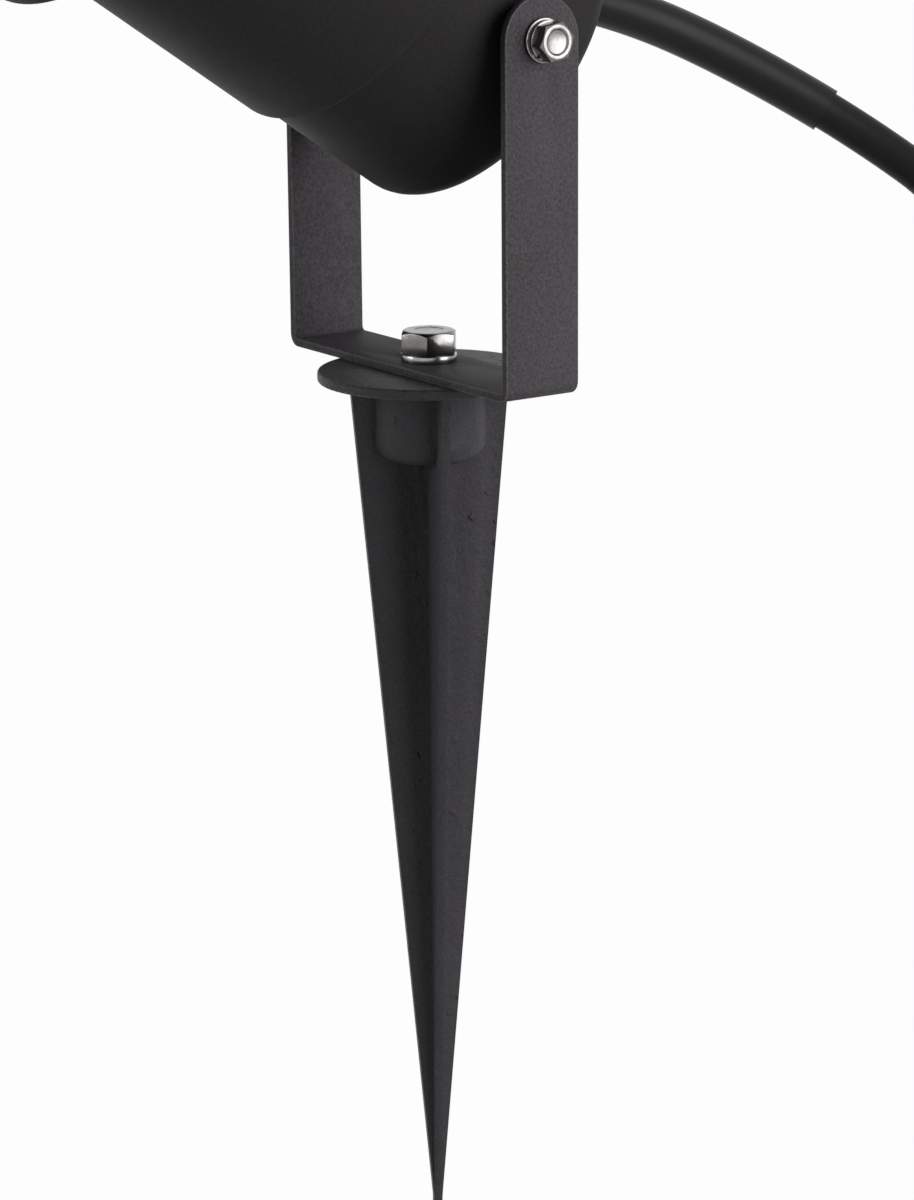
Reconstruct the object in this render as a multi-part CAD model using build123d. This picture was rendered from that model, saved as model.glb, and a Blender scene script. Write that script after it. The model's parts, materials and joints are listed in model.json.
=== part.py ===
# Garden spike spotlight with a stepped cast head, a bent bar bracket and a cross-finned ground spike.
# Sizes are millimetres and degrees. +Z is up, the head tilts about X and looks towards -Y.
# The origin is on the spike's axis at the underside of its disc, where the ground comes to.
from build123d import *
from math import cos, hypot, pi, radians, sin, tan
import os

# Driving sizes
strip_width = 20.0
strip_thickness = 2.0
barrel_radius = 41.5
head_clearance = 2.5  # between the barrel and each arm
bracket_span = 2 * (barrel_radius + head_clearance + strip_thickness)
pivot_height = 83.0
aim = 41.3  # how far the lamp looks above level at rest
disc_radius = 26.5
disc_thickness = 2.5
fin_reach = 19.2
fin_vanishing_depth = 221.0  # where the fins' straight edges would meet
spike_length = 212.0
flange_radius = 61.7
rear_radius = 35.0
cable_radius = 4.75

# Fits
swivel_clearance = 0.08  # bolt shank in a hole that turns on it
thread_clearance = 0.15  # screws in their own holes
loose_clearance = 0.3  # curved faces that only lie beside each other

# Ground spike
fin_thickness = 2.1
fin_turn = -21.8
spike_boss_radius = 13.5
spike_boss_depth = 19.0
spike_boss_round = 5.0
disc_edge_round = 0.6
base_hole_depth = 13.0

# Bracket
bend_inner_radius = 3.0
arm_inner = bracket_span / 2 - strip_thickness
arm_outer = bracket_span / 2
bracket_floor = disc_thickness + strip_thickness  # top of the bracket's base

# Fasteners
base_bolt_radius = 4.0
base_bolt_flats = 12.4
base_bolt_head = 4.8
base_bolt_turn = -41.0
base_washer_radius = 6.6
base_washer_thickness = 1.8
side_bolt_radius = 2.5
side_bolt_flats = 8.0
side_bolt_head = 3.6
side_bolt_turn = 12.0
side_bolt_reach = 34.0  # how near its tip comes to the middle of the head
side_washer_radius = 5.0
side_washer_thickness = 1.0
side_spring_radius = 4.6
side_spring_thickness = 1.3
washer_split = 1.0
washer_clearance = 0.2
head_recess_share = 0.38  # dish in a bolt head, as a share of its flats
head_recess_depth = 0.5

# Head, measured rearwards from the tilt axis along its own axis
ring_front = -117.0
flange_front = -97.0
flange_back = -86.8
barrel_back = -19.4
head_back = 22.5
rear_round = 6.6
flange_root_round = 6.0
flange_rim_round = 2.0
barrel_rim_round = 1.0
wall = 3.0
ring_wall = 3.0
ring_lip_thickness = 4.0
glass_thickness = 4.0
gasket_thickness = 2.0
collar_wall = 2.2
collar_front = ring_front + ring_lip_thickness + glass_thickness + gasket_thickness
collar_radius = flange_radius - ring_wall - loose_clearance
collar_bore = collar_radius - collar_wall
side_boss_foot = 8.5
side_boss_radius = 6.5
side_boss_start = 30.0

# Front ring, glass and gasket
ring_lip_width = 9.2
ring_lip_radius = flange_radius - ring_lip_width
ring_round = 1.5
glass_clearance = 0.7
glass_radius = flange_radius - ring_wall - glass_clearance
gasket_width = 3.0
gasket_bore = glass_radius - gasket_width
ring_screw_count = 3
ring_screw_place = (collar_front + flange_front) / 2
ring_screw_radius = 1.5
ring_screw_hold = 1.0
ring_screw_tip = collar_radius - ring_screw_hold
ring_screw_sink = 0.4

# Reflector lamp and its holder
lamp_setback = 0.5
lamp_front = collar_front + lamp_setback
lamp_rim_clearance = 0.7
lamp_rim_radius = collar_bore - lamp_rim_clearance
lamp_rim_depth = 5.0
reflector_flare = 4.5  # its mouth over the barrel, so that the bowl narrows into the barrel's bore
reflector_mouth = barrel_radius + reflector_flare
reflector_depth = 40.0
reflector_cut = 5.5  # the neck starts this far short of the bowl's vertex
reflector_wall = 1.5
lamp_neck_radius = 12.0
lamp_neck_length = 27.7
lamp_neck_front = lamp_front + reflector_depth - reflector_cut
lamp_neck_back = lamp_neck_front + lamp_neck_length
lamp_pin_radius = 2.5
lamp_pin_spacing = 10.0
lamp_pin_length = 7.0
burner_radius = 4.0
burner_length = 17.0
holder_radius = 13.0
holder_bar_length = 72.0
holder_bar_width = 12.0
holder_bar_thickness = 1.5
holder_bar_gap = 0.1
holder_back = barrel_back - wall - holder_bar_gap - holder_bar_thickness
bar_screw_place = 30.5
bar_screw_radius = 1.5
bar_screw_head_radius = 2.8
bar_screw_head = 2.0
bar_screw_depth = 8.0
bar_boss_radius = 4.0
bar_boss_length = 12.0

# Wiring inside the head
terminal_size = (26.0, 16.0, 13.0)
terminal_middle = 4.0
terminal_seat = 2.6  # its floor over the lowest point of the bore
terminal_floor = terminal_seat - (rear_radius - wall)
terminal_pole_spacing = 8.0
terminal_hole_radius = 1.8
earth_screw_place = (18.0, -6.0)
earth_screw_radius = 2.0
earth_screw_head_radius = 3.6
earth_screw_head = 2.4
lead_radius = 1.3
lead_spacing = 3.2
lead_bend_radius = 4.0

# Cable entry, measured along its own axis from where that crosses the rear face
entry_height = 27.7
entry_rise = 28.4
entry_collar_radius = 8.6
entry_collar_inner = -14.0
entry_collar_outer = 1.5
seal_inner = -6.0
seal_outer = -1.2
seal_radius = 6.5
seal_grip = 0.15
entry_nut_radius = 8.0
entry_nut_bore = 5.7
entry_nut_spigot = 6.4
entry_end = 6.5
entry_nut_notches = 6
entry_notch_radius = 0.9

# Cable: the free stretch from the head down to the ground, then a coil with the plug lying on it
sleeve_inner = cable_radius + 0.15
sleeve_outer = 5.5
sleeve_length = 72.0
sleeve_cut_slant = 12.0
first_run = 21.0
last_run = 45.0
free_bends = [
    (6.5, 81.7, 71.6),
    (21.3, 114.0, 53.7),
    (44.5, 128.9, 33.0),
    (64.0, 131.0, -8.0),
    (76.0, 118.0, -75.0),
    (80.3, 105.2, -158.0),
]
bend_share = 0.45  # how much of the shorter run a bend may take on each side
coil_centre = (45.0, 213.0)
coil_turn = -15.0
coil_outer_radius = 62.0
coil_half_turns = 6
coil_inward_half_turns = 4
turn_pitch = 10.0
plug_bend_radius = 35.0
gap_check_step = 2.0

# Plug, along its own axis from the cable's end
plug_radius = 18.5
plug_boot_length = 24.0
plug_length = 62.0
plug_pin_radius = 2.4
plug_pin_length = 19.0
plug_pin_spacing = 19.0
earth_strip_width = 4.5
earth_strip_depth = 1.2
earth_strip_length = 16.0


def along(axis_plane, low, high, radius, inner=0.0):
    """A round bar or tube on a plane's normal, from low to high."""
    bar = Cylinder(radius, high - low, align=(Align.CENTER, Align.CENTER, Align.MIN))
    if inner:
        bar -= Cylinder(inner, high - low, align=(Align.CENTER, Align.CENTER, Align.MIN))
    return axis_plane.offset(low) * bar


def corner(sketch, x, y):
    return sketch.vertices().sort_by_distance((x, y, 0))[0]


def on_head(shape):
    """Turns a shape from the head's own frame, +Y rearwards, to where the head rests."""
    return Pos(0, 0, pivot_height) * Rot(-aim, 0, 0) * shape


def hex_bolt(shank_radius, flats, head, shank):
    """A hexagon bolt whose head stands on z = 0 and whose shank hangs below it."""
    corners = flats / 2 / cos(radians(30))
    body = extrude(RegularPolygon(corners, 6), head)
    dome = Cone(
        corners + head / tan(radians(30)), corners - 0.06 * flats, head,
        align=(Align.CENTER, Align.CENTER, Align.MIN),
    )
    body &= dome
    dish = along(Plane.XY, head - head_recess_depth, head, head_recess_share * flats)
    return body - dish + along(Plane.XY, -shank, 0, shank_radius)


def spring_washer(bore_radius, radius, thickness):
    """One turn of square wire, with its slanted split."""
    ring = along(Plane.XY, 0, thickness, radius, bore_radius)
    slot = Pos(-radius, 0, thickness / 2) * Rot(35, 0, 0) * Box(2 * radius, washer_split, 4 * thickness)
    return ring - slot


def spike():
    disc = along(Plane.XY, 0, disc_thickness, disc_radius)
    disc = fillet(disc.edges().filter_by(GeomType.CIRCLE), disc_edge_round)
    boss = along(Plane.XY, -spike_boss_depth, 0, spike_boss_radius)
    boss = fillet(boss.edges().group_by(Axis.Z)[0], spike_boss_round)
    tip_reach = fin_reach * (1 - spike_length / fin_vanishing_depth)
    outline = make_face(
        Polyline(
            (-fin_reach, 0), (fin_reach, 0), (tip_reach, -spike_length), (-tip_reach, -spike_length),
            close=True,
        )
    )
    blade = extrude(Plane.XZ * outline, fin_thickness / 2, both=True)
    fins = Rot(0, 0, fin_turn) * blade + Rot(0, 0, fin_turn + 90) * blade
    hole = along(Plane.XY, -base_hole_depth, disc_thickness, base_bolt_radius + thread_clearance)
    return disc + boss + fins - hole


def bracket():
    top = pivot_height + strip_width / 2
    bar = Pos(0, (disc_thickness + top) / 2) * Rectangle(bracket_span, top - disc_thickness)
    bar = fillet(bar.vertices().group_by(Axis.Y)[0], bend_inner_radius + strip_thickness)
    inside = Pos(0, (bracket_floor + top) / 2) * Rectangle(2 * arm_inner, top - bracket_floor)
    inside = fillet(inside.vertices().group_by(Axis.Y)[0], bend_inner_radius)
    bent = extrude(Plane.XZ * (bar - inside), strip_width / 2, both=True)
    side_view = Pos(0, (disc_thickness + pivot_height) / 2) * Rectangle(
        strip_width, pivot_height - disc_thickness
    ) + Pos(0, pivot_height) * Circle(strip_width / 2)
    bent &= extrude(Plane.YZ * side_view, bracket_span, both=True)
    base_hole = along(Plane.XY, disc_thickness, bracket_floor, base_bolt_radius + swivel_clearance)
    pivot = Plane(origin=(0, 0, pivot_height), z_dir=(1, 0, 0))
    pivot_holes = along(pivot, -arm_outer, arm_outer, side_bolt_radius + swivel_clearance)
    return bent - base_hole - pivot_holes


def entry_plane():
    """Its normal is the cable entry's axis, in the head's own frame."""
    rise = radians(entry_rise)
    return Plane(origin=(0, head_back, entry_height), x_dir=(1, 0, 0), z_dir=(0, cos(rise), sin(rise)))


def housing():
    inner_back = head_back - wall
    step = barrel_back - wall
    section = make_face(
        Polyline(
            (collar_bore, collar_front), (collar_radius, collar_front),
            (collar_radius, flange_front), (flange_radius, flange_front),
            (flange_radius, flange_back), (barrel_radius, flange_back),
            (barrel_radius, barrel_back), (rear_radius, barrel_back),
            (rear_radius, head_back), (0, head_back), (0, inner_back),
            (rear_radius - wall, inner_back), (rear_radius - wall, step),
            (barrel_radius - wall, step), (barrel_radius - wall, flange_back - wall),
            (collar_bore, flange_back - wall),
            close=True,
        )
    )
    rounds = [
        (flange_radius, flange_back, flange_rim_round),
        (barrel_radius, flange_back, flange_root_round),
        (barrel_radius, barrel_back, barrel_rim_round),
        (rear_radius, head_back, rear_round),
        (rear_radius - wall, inner_back, rear_round - wall),
    ]
    for r, s, size in rounds:
        section = fillet(corner(section, r, s), size)
    body = revolve(section, Axis.Y)
    for side in (-1, 1):
        pad = Cone(
            side_boss_foot, side_boss_radius, arm_inner - side_boss_start,
            align=(Align.CENTER, Align.CENTER, Align.MIN),
        )
        body += Plane(origin=(side * side_boss_start, 0, 0), z_dir=(side, 0, 0)) * pad
        inside_step = Plane(origin=(side * bar_screw_place, step, 0), z_dir=(0, 1, 0))
        body += along(inside_step, 0, bar_boss_length, bar_boss_radius)
        body -= along(inside_step, 0, bar_screw_depth, bar_screw_radius + thread_clearance)
        bolt_line = Plane(origin=(side * side_bolt_reach, 0, 0), z_dir=(side, 0, 0))
        body -= along(bolt_line, -1, arm_inner - side_bolt_reach, side_bolt_radius + thread_clearance)
    entry = entry_plane()
    body += along(entry, entry_collar_inner, entry_collar_outer, entry_collar_radius)
    body -= along(entry, entry_collar_inner, seal_inner, cable_radius + loose_clearance)
    body -= along(entry, seal_inner, entry_collar_outer, seal_radius + thread_clearance)
    for screw in ring_screw_planes():
        body -= along(screw, collar_bore - 1, collar_radius + 1, ring_screw_radius + thread_clearance)
    earth = earth_plane()
    body -= along(earth, 0, wall - 1, earth_screw_radius + thread_clearance)
    return body


def ring_screw_planes():
    """Each plane's normal points outwards through one screw of the front ring."""
    planes = []
    for number in range(ring_screw_count):
        angle = radians(90 + 360 / ring_screw_count * number)
        planes.append(Plane(origin=(0, ring_screw_place, 0), z_dir=(cos(angle), 0, sin(angle))))
    return planes


def earth_plane():
    x, z = earth_screw_place
    return Plane(origin=(x, head_back - wall, z), z_dir=(0, 1, 0))


def front_ring():
    lip_back = ring_front + ring_lip_thickness
    section = make_face(
        Polyline(
            (ring_lip_radius, ring_front), (flange_radius, ring_front),
            (flange_radius, flange_front), (flange_radius - ring_wall, flange_front),
            (flange_radius - ring_wall, lip_back), (ring_lip_radius, lip_back),
            close=True,
        )
    )
    section = fillet(corner(section, flange_radius, ring_front), ring_round)
    section = chamfer(corner(section, ring_lip_radius, ring_front), ring_round)
    ring = revolve(section, Axis.Y)
    for screw in ring_screw_planes():
        ring -= along(screw, collar_radius, flange_radius + 1, ring_screw_radius + thread_clearance)
    return ring


def disc_between(front, back, radius, bore=0.0):
    """A round plate or ring on the head's axis."""
    return along(Plane(origin=(0, 0, 0), z_dir=(0, 1, 0)), front, back, radius, bore)


def reflector_radius(place, shift=0.0):
    """The parabola's radius at a place on the head's axis."""
    vertex = lamp_front + reflector_depth
    return reflector_mouth * ((vertex - place) / reflector_depth) ** 0.5 + shift


def lamp_reflector():
    places = [lamp_front, lamp_front + 9, lamp_front + 18, lamp_front + 26, lamp_neck_front]
    inside = [(reflector_radius(s), s) for s in places]
    outside = [(reflector_radius(s, reflector_wall), s) for s in reversed(places)]
    bowl = make_face(
        [
            Spline(*inside),
            Line(inside[-1], outside[0]),
            Spline(*outside),
            Line(outside[-1], inside[0]),
        ]
    )
    rim = disc_between(lamp_front, lamp_front + lamp_rim_depth, lamp_rim_radius, reflector_mouth)
    return revolve(bowl, Axis.Y) + rim


def lamp_base():
    neck = disc_between(lamp_neck_front, lamp_neck_back, lamp_neck_radius)
    neck = chamfer(neck.edges().filter_by(GeomType.CIRCLE).group_by(Axis.Y)[-1], 1.0)
    return neck


def lamp_pin_plane(side, place):
    return Plane(origin=(side * lamp_pin_spacing / 2, place, 0), z_dir=(0, 1, 0))


def lamp_pin(side):
    return along(lamp_pin_plane(side, lamp_neck_back), 0, lamp_pin_length, lamp_pin_radius)


def lamp_burner():
    front = lamp_neck_front - burner_length
    burner = disc_between(front, lamp_neck_front, burner_radius)
    return fillet(burner.edges().group_by(Axis.Y)[0], burner_radius - 0.5)


def lamp_holder():
    block = disc_between(lamp_neck_back + loose_clearance, holder_back, holder_radius)
    for side in (-1, 1):
        slot = along(
            lamp_pin_plane(side, lamp_neck_back), 0, lamp_pin_length + 1, lamp_pin_radius + loose_clearance
        )
        block -= slot
    return block


def holder_bar():
    middle = holder_back + holder_bar_thickness / 2
    bar = Pos(0, middle, 0) * Box(holder_bar_length, holder_bar_thickness, holder_bar_width)
    bar = fillet(bar.edges().filter_by(Axis.Y), 2.0)
    for side in (-1, 1):
        bar -= along(bar_screw_plane(side), -5, 5, bar_screw_radius + thread_clearance)
    return bar


def bar_screw_plane(side):
    """Its normal points rearwards, from the holder bar's front face."""
    return Plane(origin=(side * bar_screw_place, holder_back, 0), z_dir=(0, 1, 0))


def bar_screw(side):
    line = bar_screw_plane(side)
    shank = along(line, 0, holder_bar_thickness + bar_screw_depth - 1, bar_screw_radius)
    return along(line, -bar_screw_head, 0, bar_screw_head_radius) + shank


def terminal_block():
    long, deep, tall = terminal_size
    block = Pos(0, terminal_middle, terminal_floor + tall / 2) * Box(long, deep, tall)
    block = fillet(block.edges().filter_by(Axis.Y), 1.0)
    for pole in (-1, 0, 1):
        above = Plane(origin=(pole * terminal_pole_spacing, terminal_middle, terminal_floor + tall))
        block -= along(above, -7, 0, terminal_hole_radius)
    return block


def earth_screw():
    shank = along(earth_plane(), -earth_screw_head, wall - 1.2, earth_screw_radius)
    head = along(earth_plane(), -earth_screw_head, 0, earth_screw_head_radius)
    return head + shank


def entry_nut():
    nut = along(entry_plane(), entry_collar_outer, entry_end, entry_nut_radius)
    nut += along(entry_plane(), seal_outer + 0.2, entry_collar_outer, entry_nut_spigot)
    nut -= along(entry_plane(), seal_outer, entry_end, entry_nut_bore)
    for notch in range(entry_nut_notches):
        angle = 2 * pi / entry_nut_notches * notch
        place = Pos(entry_nut_radius * cos(angle), entry_nut_radius * sin(angle), 0)
        groove = Cylinder(
            entry_notch_radius, entry_end - entry_collar_outer,
            align=(Align.CENTER, Align.CENTER, Align.MIN),
        )
        nut -= entry_plane().offset(entry_collar_outer) * place * groove
    return nut


def cable_seal():
    return along(entry_plane(), seal_inner, seal_outer, seal_radius, cable_radius + seal_grip)


def cable_inner():
    return along(entry_plane(), entry_collar_inner - 3, entry_end, cable_radius)


def lead(pole):
    """One core, from the stripped cable down into its terminal."""
    start = entry_plane().offset(entry_collar_inner - 3)
    across = lead_spacing * pole
    _, _, tall = terminal_size
    top = terminal_floor + tall
    entry = start.origin + Vector(across, 0, 0)
    ahead = entry - start.z_dir * 7
    over = (pole * terminal_pole_spacing, terminal_middle, top + 12)
    down = (pole * terminal_pole_spacing, terminal_middle, top - 5)
    route = FilletPolyline(entry, ahead, over, down, radius=lead_bend_radius)
    return tube(route, lead_radius)


def tube(route, radius, bore=0.0):
    section = Circle(radius)
    if bore:
        section -= Circle(bore)
    return sweep(Plane(origin=route @ 0, z_dir=route % 0) * section, path=route)


def coil_place():
    x, y = coil_centre
    return Pos(x, y, cable_radius - spike_length) * Rot(0, 0, coil_turn)


def coil_stations():
    """Where each half turn begins, on alternate sides: sideways reach and height."""
    on_top = turn_pitch + cable_radius + loose_clearance + plug_radius
    stations = []
    for half_turn in range(coil_half_turns + 1):
        inward = min(half_turn, coil_inward_half_turns)
        outward = half_turn - inward
        reach = coil_outer_radius - (inward - outward) * turn_pitch / 2
        height = turn_pitch if half_turn >= coil_inward_half_turns else 0.0
        if half_turn == coil_half_turns:
            height = on_top
        side = 1 if half_turn % 2 == 0 else -1
        stations.append((side * reach, height))
    return stations


def coil_route():
    """Half turns that spiral in, climb a layer, spiral out and lift the plug on top."""
    straight = 2 * cable_radius
    stations = coil_stations()
    first_x, first_z = stations[0]
    pieces = [Line((first_x, -straight, first_z), (first_x, 0, first_z))]
    for (x0, z0), (x1, z1) in zip(stations, stations[1:]):
        radius = hypot(x1 - x0, z1 - z0) / 2
        bulge = radius if x0 > 0 else -radius
        middle = ((x0 + x1) / 2, bulge, (z0 + z1) / 2)
        pieces.append(ThreePointArc((x0, 0, z0), middle, (x1, 0, z1)))
    last_x, last_z = stations[-1]
    centre_x = last_x - plug_bend_radius
    half = plug_bend_radius * cos(radians(45))
    turned = (centre_x, plug_bend_radius, last_z)
    pieces.append(ThreePointArc((last_x, 0, last_z), (centre_x + half, half, last_z), turned))
    pieces.append(Line(turned, (centre_x - straight, plug_bend_radius, last_z)))
    return coil_place() * Wire([piece.edge() for piece in pieces])


def free_route():
    """From the nut's end face down to the coil, with a bend at each chosen point."""
    leaving = Plane(on_head(entry_plane().offset(entry_end).location))
    landing = coil_route()
    points = [leaving.origin, leaving.origin + leaving.z_dir * first_run]
    points += [Vector(*point) for point in free_bends]
    points += [landing @ 0 - (landing % 0) * last_run, landing @ 0]
    radii = []
    for before, here, after in zip(points, points[1:], points[2:]):
        half_turn = radians((here - before).get_angle(after - here)) / 2
        shorter = min((here - before).length, (after - here).length)
        radii.append(bend_share * shorter / tan(half_turn))
    print("bend radii of the free cable:", [round(radius, 1) for radius in radii])
    print("points of the free cable:", [tuple(round(c, 2) for c in point) for point in points])
    print("runs of the free cable:", [round((b - a).length, 1) for a, b in zip(points, points[1:])])
    return FilletPolyline(*points, radius=radii)


def least_coil_gap(route):
    """The least distance between parts of the coil that are not neighbours along it."""
    count = int(route.length / gap_check_step)
    points = [route @ (i / count) for i in range(count + 1)]
    apart = int(6 * cable_radius / gap_check_step)
    nearest = min(
        (points[i] - points[j]).length for i in range(len(points)) for j in range(i + apart, len(points))
    )
    return nearest - 2 * cable_radius


def cable_sleeve(route):
    whole = tube(route, sleeve_outer, sleeve_inner)
    share = sleeve_length / route.length
    tangent = (route % share).rotate(Axis.Z, sleeve_cut_slant)
    cut = Plane(origin=route @ share, z_dir=tangent)
    return split(whole, bisect_by=cut, keep=Keep.BOTTOM)


def plug_place(route):
    """The plug's own frame: +Z leaves the cable's end, +X is up."""
    return Plane(origin=route @ 1, x_dir=(0, 0, 1), z_dir=route % 1)


def plug_body():
    grip = plug_length - 14
    outline = [
        (cable_radius + 1.2, 0), (cable_radius + 3.2, plug_boot_length),
        (12.5, plug_boot_length + 3), (14.5, grip - 6),
    ]
    section = make_face(
        [
            Polyline((0, 0), *outline),
            Spline(outline[-1], (15.6, grip - 2), (plug_radius, grip + 2)),
            Polyline((plug_radius, grip + 2), (plug_radius, plug_length), (0, plug_length), (0, 0)),
        ]
    )
    body = revolve(Plane.XZ * section, Axis.Z)
    for side in (-1, 1):
        place = Pos(side * (plug_radius - 1), 0, plug_length - earth_strip_length / 2)
        body -= place * Box(4.4, earth_strip_width + 2.4, earth_strip_length)
        pin = Plane(origin=(0, side * plug_pin_spacing / 2, plug_length))
        body -= along(pin, -10, 0, plug_pin_radius + thread_clearance)
    return body


def plug_pin(side):
    pin = along(
        Plane(origin=(0, side * plug_pin_spacing / 2, plug_length)), -9.5, plug_pin_length, plug_pin_radius
    )
    return fillet(pin.edges().group_by(Axis.Z)[-1], plug_pin_radius - 0.6)


def plug_earth_strip(side):
    x = side * (plug_radius - 3.2 + earth_strip_depth / 2)
    return Pos(x, 0, plug_length - earth_strip_length / 2) * Box(
        earth_strip_depth, earth_strip_width, earth_strip_length - 1
    )


def side_stack(side, shape, distance):
    """Puts a fastener on the tilt axis, outwards on its side of the bracket."""
    return Plane(origin=(side * distance, 0, 0), x_dir=(0, 0, 1), z_dir=(side, 0, 0)) * shape


def build():
    parts = {"spike": spike(), "bracket": bracket()}

    washer_top = bracket_floor + base_washer_thickness
    base_shank = washer_top + base_hole_depth - 1
    base_bolt = hex_bolt(base_bolt_radius, base_bolt_flats, base_bolt_head, base_shank)
    parts["base_bolt"] = Pos(0, 0, washer_top) * Rot(0, 0, base_bolt_turn) * base_bolt
    washer = spring_washer(base_bolt_radius + washer_clearance, base_washer_radius, base_washer_thickness)
    parts["base_spring_washer"] = Pos(0, 0, bracket_floor) * Rot(0, 0, -60) * washer

    head = {"housing": housing(), "front_ring": front_ring()}
    lip_back = ring_front + ring_lip_thickness
    head["front_glass"] = disc_between(lip_back, lip_back + glass_thickness, glass_radius)
    head["glass_gasket"] = disc_between(
        collar_front - gasket_thickness, collar_front, glass_radius, gasket_bore
    )
    for number, screw in enumerate(ring_screw_planes(), 1):
        head[f"ring_screw_{number}"] = along(
            screw, ring_screw_tip, flange_radius - ring_screw_sink, ring_screw_radius
        )
    head["lamp_reflector"] = lamp_reflector()
    head["lamp_burner"] = lamp_burner()
    head["lamp_base"] = lamp_base()
    head["lamp_holder"] = lamp_holder()
    head["holder_bar"] = holder_bar()
    head["terminal_block"] = terminal_block()
    head["earth_screw"] = earth_screw()
    head["entry_nut"] = entry_nut()
    head["cable_seal"] = cable_seal()
    head["cable_inner"] = cable_inner()
    for pole, name in ((-1, "live"), (0, "earth"), (1, "neutral")):
        head[f"lead_{name}"] = lead(pole)

    flat = along(Plane.XY, 0, side_washer_thickness, side_washer_radius, side_bolt_radius + washer_clearance)
    spring = spring_washer(side_bolt_radius + washer_clearance, side_spring_radius, side_spring_thickness)
    under_spring = arm_outer + side_washer_thickness
    under_head = under_spring + side_spring_thickness
    bolt = hex_bolt(side_bolt_radius, side_bolt_flats, side_bolt_head, under_head - side_bolt_reach)
    for side, name in ((-1, "left"), (1, "right")):
        head[f"lamp_pin_{name}"] = lamp_pin(side)
        head[f"bar_screw_{name}"] = bar_screw(side)
        head[f"side_washer_{name}"] = side_stack(side, flat, arm_outer)
        head[f"side_spring_washer_{name}"] = side_stack(side, spring, under_spring)
        head[f"side_bolt_{name}"] = side_stack(side, Rot(0, 0, side_bolt_turn) * bolt, under_head)
    for name, shape in head.items():
        parts[name] = on_head(shape)

    coil = coil_route()
    free = free_route()
    print(f"least gap of the coil to itself: {least_coil_gap(coil):.2f}")
    print(f"cable length outside the head: {free.length + coil.length:.0f}")
    parts["cable_free"] = tube(free, cable_radius)
    parts["cable_sleeve"] = cable_sleeve(free)
    parts["cable_coil"] = tube(coil, cable_radius)
    for name, route in (("cable_free", free), ("cable_coil", coil)):
        expected = pi * cable_radius**2 * route.length
        print(f"{name}: volume {parts[name].volume:.0f}, section times length {expected:.0f}")
    place = plug_place(coil)
    parts["plug_body"] = place * plug_body()
    for side, name in ((-1, "left"), (1, "right")):
        parts[f"plug_pin_{name}"] = place * plug_pin(side)
        parts[f"plug_earth_{name}"] = place * plug_earth_strip(side)
    return parts


os.makedirs("parts", exist_ok=True)
for node, shape in build().items():
    export_step(shape, f"parts/{node}.step")
    print(node, "solids:", len(shape.solids()), "volume:", round(shape.volume, 1))
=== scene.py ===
import bpy
import bmesh
import json
from math import cos, hypot, pi, radians, sin
from mathutils import Matrix, Vector
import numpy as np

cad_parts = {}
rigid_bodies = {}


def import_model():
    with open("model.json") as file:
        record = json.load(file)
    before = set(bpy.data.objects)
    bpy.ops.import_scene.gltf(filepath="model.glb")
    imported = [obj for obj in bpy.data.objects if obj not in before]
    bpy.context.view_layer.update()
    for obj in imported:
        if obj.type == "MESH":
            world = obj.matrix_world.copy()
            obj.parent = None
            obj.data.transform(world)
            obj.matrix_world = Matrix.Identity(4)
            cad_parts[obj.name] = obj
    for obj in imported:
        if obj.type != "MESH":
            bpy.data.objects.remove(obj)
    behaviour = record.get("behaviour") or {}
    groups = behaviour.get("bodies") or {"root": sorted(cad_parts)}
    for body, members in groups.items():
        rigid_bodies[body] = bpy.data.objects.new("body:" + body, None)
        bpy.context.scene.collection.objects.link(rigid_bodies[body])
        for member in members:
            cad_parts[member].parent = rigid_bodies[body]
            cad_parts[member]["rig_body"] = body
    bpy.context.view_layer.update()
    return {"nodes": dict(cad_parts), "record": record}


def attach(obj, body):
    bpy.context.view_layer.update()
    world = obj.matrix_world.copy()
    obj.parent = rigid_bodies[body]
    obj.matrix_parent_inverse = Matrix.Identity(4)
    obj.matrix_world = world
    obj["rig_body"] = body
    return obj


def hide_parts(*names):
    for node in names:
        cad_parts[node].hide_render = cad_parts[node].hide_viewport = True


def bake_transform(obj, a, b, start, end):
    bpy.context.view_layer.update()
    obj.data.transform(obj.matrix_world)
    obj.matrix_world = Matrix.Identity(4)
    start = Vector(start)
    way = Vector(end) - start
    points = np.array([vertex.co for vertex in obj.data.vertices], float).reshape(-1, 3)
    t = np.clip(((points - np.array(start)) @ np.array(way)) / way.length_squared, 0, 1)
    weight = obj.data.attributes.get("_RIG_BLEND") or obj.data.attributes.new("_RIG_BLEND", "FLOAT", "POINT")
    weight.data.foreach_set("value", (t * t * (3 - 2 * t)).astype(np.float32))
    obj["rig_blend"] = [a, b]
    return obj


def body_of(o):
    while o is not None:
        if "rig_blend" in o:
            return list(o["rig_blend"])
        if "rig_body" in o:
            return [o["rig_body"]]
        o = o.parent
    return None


# Garden spike spotlight. Metres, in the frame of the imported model.

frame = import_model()
nodes = frame["nodes"]
print("frame loaded:", len(nodes), "nodes")

view = {
    "place": (0.6676, -0.4490, 0.1569),
    "turn": 55.64,          # degrees round Z, from looking along +Y
    "dip": 14.70,           # degrees below level
    "roll": -0.486,
    "focalPixels": 3454,
    "imageHeight": 1200,
    "sensor": 36.0,
}


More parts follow.
